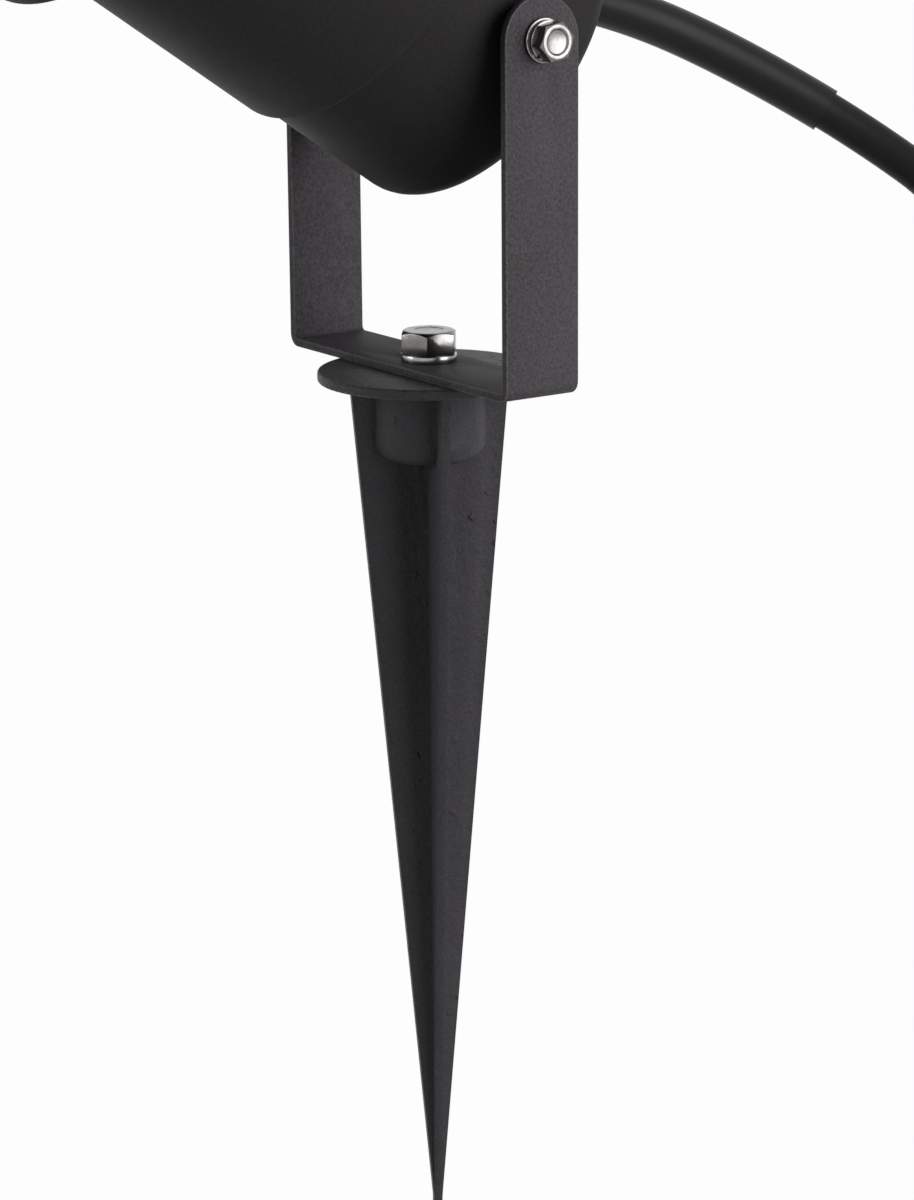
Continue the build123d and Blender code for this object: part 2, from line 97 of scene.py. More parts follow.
def makeCamera():
    turn, dip, roll = (radians(view[k]) for k in ("turn", "dip", "roll"))
    right = Vector((cos(turn), sin(turn), 0))
    ahead = Vector((-sin(turn) * cos(dip), cos(turn) * cos(dip), -sin(dip)))
    up = right.cross(ahead)
    rolledRight = cos(roll) * right + sin(roll) * up
    rolledUp = cos(roll) * up - sin(roll) * right
    data = bpy.data.cameras.new("camera")
    data.sensor_fit = "VERTICAL"
    data.sensor_height = view["sensor"]
    data.lens = view["sensor"] * view["focalPixels"] / view["imageHeight"]
    data.clip_start = 0.01
    data.clip_end = 50
    camera = bpy.data.objects.new("camera", data)
    bpy.context.scene.collection.objects.link(camera)
    axes = Matrix((rolledRight, rolledUp, -ahead)).transposed()
    camera.matrix_world = Matrix.Translation(view["place"]) @ axes.to_4x4()
    bpy.context.scene.camera = camera


makeCamera()

slotOfNode = {row["node"]: row["material_slot"] for row in frame["record"]["subparts"]}


def smoothShade(piece, sharpFrom=32):
    piece.data.polygons.foreach_set("use_smooth", [True] * len(piece.data.polygons))
    piece.data.set_sharp_from_angle(angle=radians(sharpFrom))
    return piece


def linkMesh(name, mesh):
    piece = bpy.data.objects.new(name, mesh)
    bpy.context.scene.collection.objects.link(piece)
    return piece


def pieceFrom(bm, name, place=None):
    if place is not None:
        bmesh.ops.transform(bm, matrix=place, verts=bm.verts)
    bmesh.ops.recalc_face_normals(bm, faces=bm.faces)
    mesh = bpy.data.meshes.new(name)
    bm.to_mesh(mesh)
    bm.free()
    return smoothShade(linkMesh(name, mesh))


def meshOf(obj, name):
    bpy.context.view_layer.update()
    made = bpy.data.meshes.new_from_object(obj.evaluated_get(bpy.context.evaluated_depsgraph_get()))
    bpy.data.objects.remove(obj)
    made.name = name
    return linkMesh(name, made)


def combine(piece, tool, operation):
    change = piece.modifiers.new("cut", "BOOLEAN")
    change.operation = operation
    change.solver = "EXACT"
    change.object = tool
    made = meshOf(piece, piece.name)
    bpy.data.objects.remove(tool)
    return smoothShade(made)


# when the flag is set, the rounded edges take the second material slot, which gets a lighter finish as a
# painted highlight along them
def softenEdges(piece, width, segments=2, sharperThan=38, highlightEdges=False):
    change = piece.modifiers.new("edges", "BEVEL")
    if highlightEdges:
        for _ in range(2):
            piece.data.materials.append(None)
        change.material = 1
    change.width = width
    change.segments = segments
    change.limit_method = "ANGLE"
    change.angle_limit = radians(sharperThan)
    change.harden_normals = False
    return smoothShade(meshOf(piece, piece.name), 40)


# corners are (across, along, rounding) in the XY plane
def outlineFace(bm, corners, roundSteps=8):
    verts = [bm.verts.new((corner[0], corner[1], 0)) for corner in corners]
    bm.faces.new(verts)
    for vert, corner in zip(verts, corners):
        if len(corner) > 2:
            bmesh.ops.bevel(
                bm, geom=[vert], offset=corner[2], segments=roundSteps, profile=0.5,
                affect="VERTICES", material=-1,
            )


# turns an outline round the Y axis
def spunPiece(name, corners, place=None, steps=96, roundSteps=8):
    bm = bmesh.new()
    outlineFace(bm, corners, roundSteps)
    bmesh.ops.delete(bm, geom=bm.faces[:], context="FACES_ONLY")
    onAxis = [edge for edge in bm.edges if all(abs(vert.co.x) < 1e-7 for vert in edge.verts)]
    bmesh.ops.delete(bm, geom=onAxis, context="EDGES")
    bmesh.ops.spin(
        bm, geom=bm.verts[:] + bm.edges[:], axis=(0, 1, 0), cent=(0, 0, 0), angle=2 * pi, steps=steps,
        use_merge=True, use_duplicate=False,
    )
    bmesh.ops.remove_doubles(bm, verts=bm.verts, dist=1e-6)
    return pieceFrom(bm, name, place)


def rod(name, radius, start, end, place, steps=48):
    return spunPiece(name, [(0, start), (radius, start), (radius, end), (0, end)], place, steps=steps)


# an outline pushed along its own Z
def platePiece(name, corners, thickness, place, roundSteps=8):
    bm = bmesh.new()
    outlineFace(bm, corners, roundSteps)
    grown = bmesh.ops.extrude_face_region(bm, geom=bm.faces[:])["geom"]
    moved = [item for item in grown if isinstance(item, bmesh.types.BMVert)]
    bmesh.ops.translate(bm, verts=moved, vec=(0, 0, thickness))
    return pieceFrom(bm, name, place)


# a frame from its origin and the world directions of its X and Y
def placeAt(origin, across, along):
    across, along = Vector(across).normalized(), Vector(along).normalized()
    axes = Matrix((across, along, across.cross(along))).transposed().to_4x4()
    return Matrix.Translation(origin) @ axes


def settle(piece, body, slot, *replaced):
    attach(piece, body)
    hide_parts(*replaced)
    return piece


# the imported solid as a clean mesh, with its sharp edges softened if a width is given
def refinedCopy(node, width=0.0, place=None, highlightEdges=False):
    bm = bmesh.new()
    bm.from_mesh(nodes[node].data)
    bmesh.ops.remove_doubles(bm, verts=bm.verts, dist=2e-6)
    bmesh.ops.dissolve_limit(bm, angle_limit=radians(0.4), verts=bm.verts, edges=bm.edges)
    piece = pieceFrom(bm, node + "_fine", place)
    if width:
        piece = softenEdges(piece, width, highlightEdges=highlightEdges)
    return settle(piece, body_of(nodes[node])[0], slotOfNode[node], node)


def feed(tree, socket, value):
    if isinstance(value, bpy.types.NodeSocket):
        tree.links.new(value, socket)
    else:
        socket.default_value = value


def mathNode(tree, operation, *values, clamp=False):
    node = tree.nodes.new("ShaderNodeMath")
    node.operation = operation
    node.use_clamp = clamp
    for socket, value in zip(node.inputs, values):
        feed(tree, socket, value)
    return node.outputs[0]


def weightedSum(tree, *parts, clamp=False):
    scaled = [mathNode(tree, "MULTIPLY", value, weight) for value, weight in parts]
    total = scaled[0]
    for part in scaled[1:]:
        total = mathNode(tree, "ADD", total, part)
    total.node.use_clamp = clamp
    return total


def noiseOf(tree, place, scale, detail, rough):
    node = tree.nodes.new("ShaderNodeTexNoise")
    for name, value in (("Vector", place), ("Scale", scale), ("Detail", detail), ("Roughness", rough)):
        feed(tree, node.inputs[name], value)
    return node.outputs["Fac"]


# a node group with named inputs that puts out colour, roughness and normal; closeSkin ends it
def openSkin(name, inputs):
    tree = bpy.data.node_groups.new(name, "ShaderNodeTree")
    for socket, value in inputs.items():
        kind = "NodeSocketColor" if isinstance(value, tuple) else "NodeSocketFloat"
        tree.interface.new_socket(name=socket, in_out="INPUT", socket_type=kind).default_value = value
    for socket, kind in (("Color", "Color"), ("Roughness", "Float"), ("Normal", "Vector")):
        tree.interface.new_socket(name=socket, in_out="OUTPUT", socket_type="NodeSocket" + kind)
    place = tree.nodes.new("ShaderNodeTexCoord").outputs["Object"]
    return tree, tree.nodes.new("NodeGroupInput").outputs, place


def closeSkin(tree, shade, colours, roughness, relief, height, depth):
    blend = tree.nodes.new("ShaderNodeMix")
    blend.data_type = "RGBA"
    for index, value in zip((0, 6, 7), (shade, *colours)):
        feed(tree, blend.inputs[index], value)
    bump = tree.nodes.new("ShaderNodeBump")
    for name, value in (("Distance", depth), ("Strength", relief), ("Height", height)):
        feed(tree, bump.inputs[name], value)
    out = tree.nodes.new("NodeGroupOutput").inputs
    for name, value in (
        ("Color", blend.outputs[2]), ("Roughness", roughness), ("Normal", bump.outputs["Normal"]),
    ):
        feed(tree, out[name], value)
    return tree


barSkin = {
    "broadScale": 45.0,
    "contrast": 2.2,
    "offset": -0.6,
    "grainShare": 0.75,
    "broadShare": 0.3,
    "roughSpan": 0.16,
    "roughFrom": 0.46,
    "depth": 0.0003,
}


def coatGrainGroup():
    tree, given, place = openSkin("coatGrain", {
        "Scale": 1600.0, "Dark": (0.03, 0.03, 0.03, 1), "Light": (0.06, 0.06, 0.06, 1), "Relief": 0.3,
    })
    fine = noiseOf(tree, place, given["Scale"], 3.0, 0.6)
    broad = noiseOf(tree, place, barSkin["broadScale"], 3.0, 0.55)
    speck = mathNode(tree, "MULTIPLY_ADD", fine, barSkin["contrast"], barSkin["offset"])
    shade = weightedSum(tree, (speck, barSkin["grainShare"]), (broad, barSkin["broadShare"]), clamp=True)
    rough = mathNode(tree, "MULTIPLY_ADD", broad, barSkin["roughSpan"], barSkin["roughFrom"])
    colours = given["Dark"], given["Light"]
    return closeSkin(tree, shade, colours, rough, given["Relief"], fine, barSkin["depth"])


def fineWearGroup():
    tree, given, place = openSkin("fineWear", {
        "Scale": 120.0, "Base": (0.5, 0.5, 0.5, 1), "Worn": (0.4, 0.4, 0.4, 1), "Smooth": 0.2,
        "Rough": 0.4, "Relief": 0.1,
    })
    cloud = noiseOf(tree, place, given["Scale"], 5.0, 0.6)
    span = mathNode(tree, "SUBTRACT", given["Rough"], given["Smooth"])
    rough = mathNode(tree, "ADD", mathNode(tree, "MULTIPLY", span, cloud), given["Smooth"])
    return closeSkin(tree, cloud, (given["Base"], given["Worn"]), rough, given["Relief"], cloud, 0.0002)


# grain and lumps all over, and small raised spots in patches
spikeSkin = {
    "grainScale": 1500.0,
    "lumpScale": 420.0,
    "broadScale": 38.0,
    "spotScale": 190.0,
    "spotRagged": 0.30,
    "spotRadius": 0.05,
    "spotSteep": 9.0,
    "patchFrom": 0.42,
    "patchSteep": 6.0,
    "contrast": 1.6,
    "offset": -0.45,
    "grainShare": 0.6,
    "spotShare": 0.25,
    "broadShare": 0.5,
    "roughSpan": 0.25,
    "roughFrom": 0.36,
    "grainHeight": 0.10,
    "lumpHeight": 0.25,
    "spotHeight": 0.35,
    "depth": 0.0016,
}


def castSkinGroup():
    tree, given, place = openSkin("castSkin", {
        "Dark": (0.03, 0.03, 0.03, 1), "Light": (0.06, 0.06, 0.06, 1), "Relief": 0.5,
    })
    skin = spikeSkin
    grain = noiseOf(tree, place, skin["grainScale"], 3.0, 0.6)
    lumps = noiseOf(tree, place, skin["lumpScale"], 4.0, 0.65)
    broad = noiseOf(tree, place, skin["broadScale"], 3.0, 0.55)
    cells = tree.nodes.new("ShaderNodeTexVoronoi")
    feed(tree, cells.inputs["Scale"], skin["spotScale"])
    feed(tree, cells.inputs["Vector"], place)
    reach = mathNode(tree, "MULTIPLY_ADD", lumps, skin["spotRagged"], skin["spotRadius"])
    inside = mathNode(tree, "SUBTRACT", reach, cells.outputs["Distance"])
    spot = mathNode(tree, "MULTIPLY", inside, skin["spotSteep"], clamp=True)
    over = mathNode(tree, "SUBTRACT", broad, skin["patchFrom"])
    patch = mathNode(tree, "MULTIPLY", over, skin["patchSteep"], clamp=True)
    spot = mathNode(tree, "MULTIPLY", spot, patch)
    speck = mathNode(tree, "MULTIPLY_ADD", grain, skin["contrast"], skin["offset"])
    shade = weightedSum(
        tree, (speck, skin["grainShare"]), (spot, skin["spotShare"]), (broad, skin["broadShare"]), clamp=True
    )
    rough = mathNode(tree, "MULTIPLY_ADD", lumps, skin["roughSpan"], skin["roughFrom"])
    height = weightedSum(
        tree, (grain, skin["grainHeight"]), (lumps, skin["lumpHeight"]), (spot, skin["spotHeight"])
    )
    colours = given["Dark"], given["Light"]
    return closeSkin(tree, shade, colours, rough, given["Relief"], height, skin["depth"])


coatGrain = coatGrainGroup()
castSkin = castSkinGroup()
fineWear = fineWearGroup()


def makeFinish(name, group, groupValues, **shaderValues):
    material = bpy.data.materials.new(name)
    material.use_nodes = True
    tree = material.node_tree
    shader = tree.nodes["Principled BSDF"]
    effect = tree.nodes.new("ShaderNodeGroup")
    effect.node_tree = group
    for socket, value in groupValues.items():
        effect.inputs[socket].default_value = (*value, 1) if isinstance(value, tuple) else value
    for output, socket in (("Color", "Base Color"), ("Roughness", "Roughness"), ("Normal", "Normal")):
        tree.links.new(effect.outputs[output], shader.inputs[socket])
    for socket, value in shaderValues.items():
        shader.inputs[socket.replace("_", " ")].default_value = value
    return material


def barFinish(name, scale, dark, light, relief, specular):
    values = {"Scale": scale, "Dark": dark, "Light": light, "Relief": relief}
    return makeFinish(name, coatGrain, values, Specular_IOR_Level=specular)


def castFinish(name, dark, light, relief, specular):
    values = {"Dark": dark, "Light": light, "Relief": relief}
    return makeFinish(name, castSkin, values, Specular_IOR_Level=specular)


# base and worn are colours, smooth and rough the ends of the roughness
def wornFinish(name, scale, base, worn, smooth, rough, relief=0.1, **shaderValues):
    values = {"Scale": scale, "Base": base, "Worn": worn, "Smooth": smooth, "Rough": rough, "Relief": relief}
    return makeFinish(name, fineWear, values, **shaderValues)


def grey(level):
    return (level, level, level)


metal = {"Metallic": 1.0}
finishes = {
    "coat": barFinish("barCoat", 1350.0, (0.036, 0.033, 0.0355), (0.108, 0.100, 0.108), 0.8, 0.04),
    # lighter copy of the bar coat for the rounded edges: a painted highlight
    "coat_edge_highlight": barFinish("barCoatEdge", 1350.0, (0.050, 0.046, 0.049), (0.150, 0.140, 0.150), 0.6, 0.12),
    "head_coat": barFinish("headCoat", 2300.0, (0.018, 0.0165, 0.0178), (0.034, 0.0315, 0.034), 0.2, 0.05),
    "cast": castFinish("castCoat", (0.024, 0.0225, 0.0245), (0.068, 0.063, 0.069), 0.9, 0.14),
    # lighter copy of the cast coat for the rounded edges: a painted highlight
    "cast_edge_highlight": castFinish("castCoatEdge", (0.060, 0.056, 0.060), (0.150, 0.140, 0.150), 0.6, 0.3),
    "steel": wornFinish(
        "boltSteel", 300.0, (0.40, 0.39, 0.375), (0.24, 0.235, 0.225), 0.14, 0.32, 0.15, **metal
    ),
    "dark_steel": wornFinish(
        "baseBoltSteel", 420.0, (0.27, 0.26, 0.25), (0.10, 0.097, 0.093), 0.12, 0.28, 0.2, **metal
    ),
    "reflector": wornFinish(
        "reflectorMirror", 90.0, (0.86, 0.86, 0.87), (0.80, 0.80, 0.81), 0.06, 0.14, 0.25, **metal
    ),
    "nickel": wornFinish("nickelPlate", 260.0, (0.70, 0.67, 0.61), (0.60, 0.57, 0.51), 0.16, 0.3, **metal),
    "brass": wornFinish("screwBrass", 260.0, (0.66, 0.48, 0.20), (0.52, 0.37, 0.15), 0.22, 0.4, **metal),
    "silicone": wornFinish("siliconeRubber", 200.0, grey(0.03), grey(0.05), 0.5, 0.65),
    "ceramic": wornFinish("ceramicGlaze", 160.0, (0.74, 0.72, 0.66), (0.66, 0.63, 0.56), 0.25, 0.4),
    "terminal": wornFinish("terminalNylon", 220.0, (0.72, 0.72, 0.68), (0.64, 0.64, 0.60), 0.4, 0.55),
    "nut_plastic": wornFinish("nutNylon", 240.0, grey(0.018), grey(0.030), 0.4, 0.55),
    "plug": wornFinish("plugRubber", 260.0, grey(0.012), grey(0.020), 0.45, 0.6),
    "cable": wornFinish(
        "cableRubber", 420.0, (0.0070, 0.0072, 0.0078), (0.0120, 0.0125, 0.0135), 0.38, 0.52, 0.3,
        Specular_IOR_Level=0.12,
    ),
    "sleeve": wornFinish(
        "sleeveShrink", 180.0, (0.0075, 0.0078, 0.0084), (0.0135, 0.0140, 0.0150), 0.34, 0.48, 0.4,
        Specular_IOR_Level=0.14,
    ),
    "lead_brown": wornFinish("brownLead", 240.0, (0.10, 0.035, 0.012), (0.14, 0.05, 0.02), 0.3, 0.45),
    "lead_blue": wornFinish("blueLead", 240.0, (0.012, 0.05, 0.30), (0.02, 0.07, 0.36), 0.3, 0.45),
    "lead_green": wornFinish("greenLead", 240.0, (0.10, 0.30, 0.03), (0.55, 0.50, 0.04), 0.3, 0.45),
    "glass": wornFinish(
        "frontGlass", 60.0, (0.95, 0.97, 0.96), (0.93, 0.96, 0.95), 0.02, 0.06, 0.02,
        Transmission_Weight=1.0, IOR=1.45,
    ),
    "burner": wornFinish(
        "burnerQuartz", 120.0, (0.93, 0.93, 0.92), (0.90, 0.90, 0.88), 0.05, 0.15,
        Transmission_Weight=0.8, IOR=1.46,
    ),
}


# when a piece's rounded edges took the second slot, the second finish goes there: a lighter colour that
# paints a highlight along the edges
def paint(obj, slotName, highlightName=None):
    if highlightName:
        obj.data.materials[0] = finishes[slotName]
        obj.data.materials[1] = finishes[highlightName]
        return
    obj.data.materials.clear()
    obj.data.materials.append(finishes[slotName])


for name, obj in nodes.items():
    paint(obj, slotOfNode[name])
print("finishes set:", len(finishes))

cable = {
    "diameter": 0.0095,
    "length": 1.45,
    "sleeveDiameter": 0.0110,
    "sleeveLength": 0.0738,
    "sleeveSlant": -11,     # degrees
    "bendFrom": (0.0, 0.0415, 0.0875),
    "bendTo": (0.076, 0.118, -0.075),
    "route": [
        (0.0, 0.0415, 0.0875),
        (0.0, 0.0580, 0.0836),
        (0.0065, 0.0840, 0.0717),
        (0.0213, 0.1129, 0.0530),
        (0.0445, 0.1295, 0.0341),
        (0.0640, 0.1310, -0.0080),
        (0.0760, 0.1180, -0.0750),
        (0.0803, 0.1052, -0.1580),
        (0.0908, 0.1443, -0.20725),
    ],
    "floorHeight": -0.20725,
    "coilCentre": (0.045, 0.213),
    "coilTurn": -15,        # degrees
    "outerRadius": 0.062,
    "halfTurns": 6,
    "inwardHalfTurns": 4,
    "pitch": 0.010,
    "plugHeight": 0.03355,  # of the plug's axis over the lowest turn's centre
    "plugBend": 0.035,
    "pointsPerHalfTurn": 8,
    "plugEdge": 0.0003,
}


def coilPoint(x, y, z):
    turn = radians(cable["coilTurn"])
    cx, cy = cable["coilCentre"]
    return Vector((
        cx + x * cos(turn) - y * sin(turn),
        cy + x * sin(turn) + y * cos(turn),
        cable["floorHeight"] + z,
    ))


def coilStations():
    stations = []
    for halfTurn in range(cable["halfTurns"] + 1):
        inward = min(halfTurn, cable["inwardHalfTurns"])
        outward = halfTurn - inward
        reach = cable["outerRadius"] - (inward - outward) * cable["pitch"] / 2
        height = cable["pitch"] if halfTurn >= cable["inwardHalfTurns"] else 0
        if halfTurn == cable["halfTurns"]:
            height = cable["plugHeight"]
        stations.append((reach if halfTurn % 2 == 0 else -reach, height))
    return stations


def coilPoints():
    straight = cable["diameter"]
    steps = cable["pointsPerHalfTurn"]
    stations = coilStations()
    points = [coilPoint(stations[0][0], -straight, stations[0][1])]
    for (x0, z0), (x1, z1) in zip(stations, stations[1:]):
        radius = hypot(x1 - x0, z1 - z0) / 2
        swell = 1 / cos(pi / steps / 2)     # the spline touches the middles of its control runs
        bulge = radius if x0 > 0 else -radius
        for step in range(steps):
            angle = pi * (step + 0.5) / steps
            along = (1 - cos(angle) * swell) / 2
            points.append(coilPoint(
                x0 + (x1 - x0) * along, bulge * sin(angle) * swell, z0 + (z1 - z0) * along
            ))
    lastX, lastZ = stations[-1]
    bend = cable["plugBend"]
    quarter = steps // 2
    swell = 1 / cos(pi / 4 / quarter)
    for step in range(quarter):
        angle = pi / 2 * (step + 0.5) / quarter
        points.append(coilPoint(
            lastX - bend + bend * cos(angle) * swell, bend * sin(angle) * swell, lastZ
        ))
    points.append(coilPoint(lastX - bend - straight, bend, lastZ))
    return points


def splineObject(name, points, kind="NURBS", bevel=0.0):
    data = bpy.data.curves.new(name, "CURVE")
    data.dimensions = "3D"
    data.resolution_u = 10
    data.bevel_depth = bevel
    data.bevel_resolution = 5
    data.use_fill_caps = bevel > 0
    spline = data.splines.new(kind)
    spline.points.add(len(points) - 1)
    for slot, point in zip(spline.points, points):
        slot.co = (*point, 1)
    if kind == "NURBS":
        spline.order_u = 3
        spline.use_endpoint_u = True
    obj = bpy.data.objects.new(name, data)
    bpy.context.scene.collection.objects.link(obj)
    return obj


def routeLine():
    guide = meshOf(splineObject("cableGuide", cable["route"] + coilPoints()), "cableGuide")
    line = [v.co.copy() for v in guide.data.vertices]
    bpy.data.objects.remove(guide)
    return line


def makeCable():
    radius = cable["diameter"] / 2
    piece = meshOf(splineObject("cableRun", cable["route"] + coilPoints(), bevel=radius), "cableRun")
    smoothShade(piece)
    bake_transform(piece, "head", "bracket", cable["bendFrom"], cable["bendTo"])
    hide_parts("cable_free", "cable_coil")
    return piece


plugPieces = [refinedCopy(name, cable["plugEdge"]) for name in nodes if name.startswith("plug_")]
cableLine = routeLine()
cableRun = makeCable()
print("cable laid:", len(cableLine), "points")


def stationAt(line, distance):
    travelled = 0
    for index in range(1, len(line)):
        travelled += (line[index] - line[index - 1]).length
        if travelled > distance:
            break
    return index


# laid a little too long, then cut across at a slant
def makeSleeve(line):
    last = stationAt(line, cable["sleeveLength"] + cable["sleeveDiameter"])
    outer = splineObject("cableSleeve", line[:last + 1], "POLY", cable["sleeveDiameter"] / 2)
    piece = meshOf(outer, "cableSleeve")
    end = stationAt(line, cable["sleeveLength"])
    before, here = line[end - 1], line[end]
    slant = Matrix.Rotation(radians(cable["sleeveSlant"]), 3, "Z")
    bm = bmesh.new()
    bm.from_mesh(piece.data)
    cut = bmesh.ops.bisect_plane(
        bm, geom=bm.verts[:] + bm.edges[:] + bm.faces[:], dist=1e-6, plane_co=here,
        plane_no=slant @ (here - before), clear_outer=True,
    )
    rim = [item for item in cut["geom_cut"] if isinstance(item, bmesh.types.BMEdge)]
    bmesh.ops.edgeloop_fill(bm, edges=rim)
    bmesh.ops.recalc_face_normals(bm, faces=bm.faces)
    bm.to_mesh(piece.data)
    bm.free()
    smoothShade(piece)
    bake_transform(piece, "head", "bracket", cable["bendFrom"], cable["bendTo"])
    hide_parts("cable_sleeve")
    return piece


paint(cableRun, "cable")
paint(makeSleeve(cableLine), "sleeve")
for piece in plugPieces:
    paint(piece, slotOfNode[piece.name.removesuffix("_fine")])
print("cable and plug built")

# The head's own axis lies over the tilt axis. Along it, + is rearwards from the tilt axis.
head = {
    "pivotHeight": 0.083,
    "aim": 34.0,            # degrees above level
    "axisRise": 0.0038,
    "ringFront": -0.115,
    "flangeFront": -0.097,
    "flangeBack": -0.0919,
    "barrelBack": -0.0236,
    "back": 0.0184,
    "flangeRadius": 0.0536,
    "barrelRadius": 0.0425,
    "rearRadius": 0.0405,
    "wall": 0.003,
    "ringWall": 0.003,
    "ringLipThickness": 0.004,
    "ringLipRadius": 0.0470,
    "ringMouthRadius": 0.0610,
    "ringFlareBack": -0.0985,
    "ringMouthDepth": 0.005,
    "ringLipRound": 0.0014,
    "ringMouthRound": 0.0018,
    "ringNeckRound": 0.0022,
    "ringFlareRound": 0.004,
    "glassThickness": 0.004,
    "gasketThickness": 0.002,
    "collarWall": 0.0022,
    "collarGap": 0.0003,    # between the collar and the ring's wall
    "fineRound": 0.0003,
    "flangeRound": 0.0015,
    "rootRound": 0.006,
    "barrelRound": 0.0018,
    "stepRound": 0.001,
    "backRound": 0.006,
    "innerRound": 0.003,
    "padFoot": 0.007,
    "padRadius": 0.006,
    "padFrom": 0.030,
    "armInner": 0.044,
    "innerShift": -0.00415, # how far the pieces behind the lamp move with the rear wall
    "packedAim": 41.3,
}
# the cable entry, along its own slanted axis from the head's back
entry = {
    "height": 0.018,
    "rise": 21.1,           # degrees
    "collarRadius": 0.0086,
    "collarFrom": -0.0065,
    "collarTo": 0.0095,
    "collarRound": 0.0006,
    "boreRadius": 0.0052,
    "boreReach": 0.02,
}
tiltAxis = Matrix.Translation((0, 0, head["pivotHeight"]))
headPlace = (
    tiltAxis @ Matrix.Rotation(radians(-head["aim"]), 4, "X") @ Matrix.Translation((0, 0, head["axisRise"]))
)
entryPlace = (
    headPlace @ Matrix.Translation((0, head["back"], entry["height"]))
    @ Matrix.Rotation(radians(entry["rise"]), 4, "X")
)
lipBack = head["ringFront"] + head["ringLipThickness"]
glassBack = lipBack + head["glassThickness"]
collarFront = glassBack + head["gasketThickness"]
collarRadius = head["flangeRadius"] - head["ringWall"] - head["collarGap"]
collarBore = collarRadius - head["collarWall"]


def makeHousing():
    wall, rear, barrel = head["wall"], head["rearRadius"], head["barrelRadius"]
    step = head["barrelBack"] - wall
    shell = spunPiece("headShell", [
        (collarBore, collarFront), (collarRadius, collarFront), (collarRadius, head["flangeFront"]),
        (head["flangeRadius"], head["flangeFront"], head["fineRound"]),
        (head["flangeRadius"], head["flangeBack"], head["flangeRound"]),
        (barrel, head["flangeBack"], head["rootRound"]),
        (barrel, head["barrelBack"], head["barrelRound"]), (rear, head["barrelBack"], head["stepRound"]),
        (rear, head["back"], head["backRound"]), (0, head["back"]), (0, head["back"] - wall),
        (rear - wall, head["back"] - wall, head["innerRound"]), (rear - wall, step), (barrel - wall, step),
        (barrel - wall, head["flangeBack"] - wall), (collarBore, head["flangeBack"] - wall),
    ], headPlace, steps=128)
    for side in (-1, 1):
        outwards = placeAt((0, 0, head["pivotHeight"]), (0, 1, 0), (side, 0, 0))
        pad = spunPiece("pad", [
            (0, head["padFrom"]), (head["padFoot"], head["padFrom"]),
            (head["padRadius"], head["armInner"], head["fineRound"]), (0, head["armInner"]),
        ], outwards, steps=48)
        shell = combine(shell, pad, "UNION")
    collar = spunPiece("collar", [
        (0, entry["collarFrom"]), (entry["collarRadius"], entry["collarFrom"]),
        (entry["collarRadius"], entry["collarTo"], entry["collarRound"]), (0, entry["collarTo"]),
    ], entryPlace, steps=64)
    shell = combine(shell, collar, "UNION")
    shell = combine(shell, rod("bore", entry["boreRadius"], -entry["boreReach"], entry["boreReach"],
                               entryPlace), "DIFFERENCE")
    return settle(shell, "head", "head_coat", "housing")


ringScrews = {
    "count": 3,
    "spacing": -120,        # degrees
    "radius": 0.0015,
    "tip": 0.047,
    "sunk": 0.0004,
    "edge": 0.0002,
    "holeRadius": 0.00165,
    "holeFrom": 0.045,
    "holeTo": 0.07,
    "keyRadius": 0.0008,
    "keyDepth": 0.0014,
}


def screwPlaces():
    middle = (collarFront + head["flangeFront"]) / 2
    upright = placeAt((0, middle, 0), (1, 0, 0), (0, 0, 1))
    turns = [radians(ringScrews["spacing"] * number) for number in range(ringScrews["count"])]
    return [headPlace @ Matrix.Rotation(turn, 4, "Y") @ upright for turn in turns]


def makeFrontRing():
    outer, mouth = head["flangeRadius"], head["ringMouthRadius"]
    ring = spunPiece("faceRing", [
        (head["ringLipRadius"], head["ringFront"], head["ringLipRound"]),
        (mouth, head["ringFront"], head["ringMouthRound"]),
        (mouth, head["ringFront"] + head["ringMouthDepth"], head["ringNeckRound"]),
        (outer, head["ringFlareBack"], head["ringFlareRound"]),
        (outer, head["flangeFront"], head["fineRound"]), (outer - head["ringWall"], head["flangeFront"]),
        (outer - head["ringWall"], lipBack), (head["ringLipRadius"], lipBack),
    ], headPlace, steps=128)
    top = outer - ringScrews["sunk"]
    for number, place in enumerate(screwPlaces(), 1):
        hole = rod("hole", ringScrews["holeRadius"], ringScrews["holeFrom"], ringScrews["holeTo"], place, 24)
        ring = combine(ring, hole, "DIFFERENCE")
        screw = spunPiece(f"ringScrew{number}", [
            (0, ringScrews["tip"]), (ringScrews["radius"], ringScrews["tip"]),
            (ringScrews["radius"], top, ringScrews["edge"]), (0, top),
        ], place, steps=32, roundSteps=2)
        hexagon = rod(
            "key", ringScrews["keyRadius"], outer - ringScrews["keyDepth"], ringScrews["holeTo"], place, 6
        )
        screw = combine(screw, hexagon, "DIFFERENCE")
        paint(settle(screw, "head", "steel", f"ring_screw_{number}"), "steel")
    return settle(ring, "head", "head_coat", "front_ring")


pane = {
    "gap": 0.0004,          # round its rim
    "lipGap": 0.00005,
    "edge": 0.0004,
    "gasketWidth": 0.003,
}


def makeGlass():
    radius, edge = collarRadius - pane["gap"], pane["edge"]
    front, bore = lipBack + pane["lipGap"], radius - pane["gasketWidth"]
    glass = spunPiece("frontPane", [
        (0, front), (radius, front, edge), (radius, glassBack, edge), (0, glassBack),
    ], headPlace, steps=128)
    seal = spunPiece("paneGasket", [
        (bore, glassBack, edge), (radius, glassBack, edge), (radius, collarFront, edge),
        (bore, collarFront, edge),
    ], headPlace, steps=128)
    paint(settle(seal, "head", slotOfNode["glass_gasket"], "glass_gasket"), slotOfNode["glass_gasket"])
    return settle(glass, "head", "glass", "front_glass")


